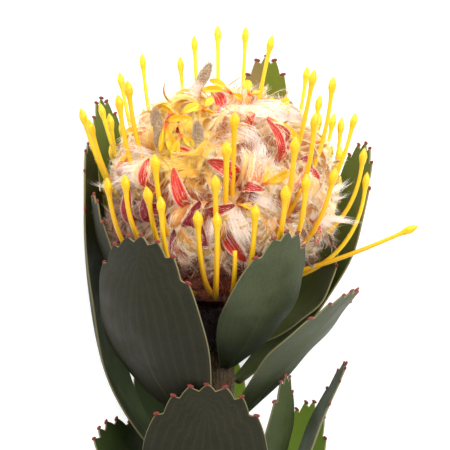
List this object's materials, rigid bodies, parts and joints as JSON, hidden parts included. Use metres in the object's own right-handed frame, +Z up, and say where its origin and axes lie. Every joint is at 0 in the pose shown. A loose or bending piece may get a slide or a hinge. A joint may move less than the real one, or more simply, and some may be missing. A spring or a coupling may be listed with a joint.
{
  "type": "pincushion protea flower",
  "caption": "Cut pincushion protea lying on its side: a domed head of woolly curled florets with long golden styles, held in a cup of toothed leathery leaves on a short stem.",
  "frame": {"origin": "On the surface that the flower lies on, under the middle of its outline seen from above.", "axes": "+Y runs along the flower's axis from the cut end of the stem to the tips of the styles. +Z is up, away from the surface. +X is to the right, seen from above with the styles at the top."},
  "size_m": [0.1113, 0.2167, 0.0985],
  "materials": {
    "stem": "matte bark with short hairs",
    "leaf": "leathery, dark grey green with a pale rim and red gland tips",
    "bract": "matte, dark purple and hairy",
    "style": "waxy golden yellow",
    "wool": "woolly, cream to peach with red striped inner faces"
  },
  "bodies": {
    "root": {"involucre": "bract", "leaf_back_left": "leaf", "leaf_back_low": "leaf", "leaf_back_right": "leaf", "leaf_front_left": "leaf", "leaf_front_right": "leaf", "leaf_left_inner": "leaf", "leaf_left_tall": "leaf", "leaf_left_upper": "leaf", "leaf_low_back_left": "leaf", "leaf_low_front": "leaf", "leaf_low_left": "leaf", "leaf_low_right_back": "leaf", "leaf_low_right_edge": "leaf", "leaf_low_right_inner": "leaf", "leaf_right_back": "leaf", "leaf_right_inner": "leaf", "leaf_right_low": "leaf", "perianths": "wool", "stem": "stem", "styles": "style"}
  },
  "joints": []
}
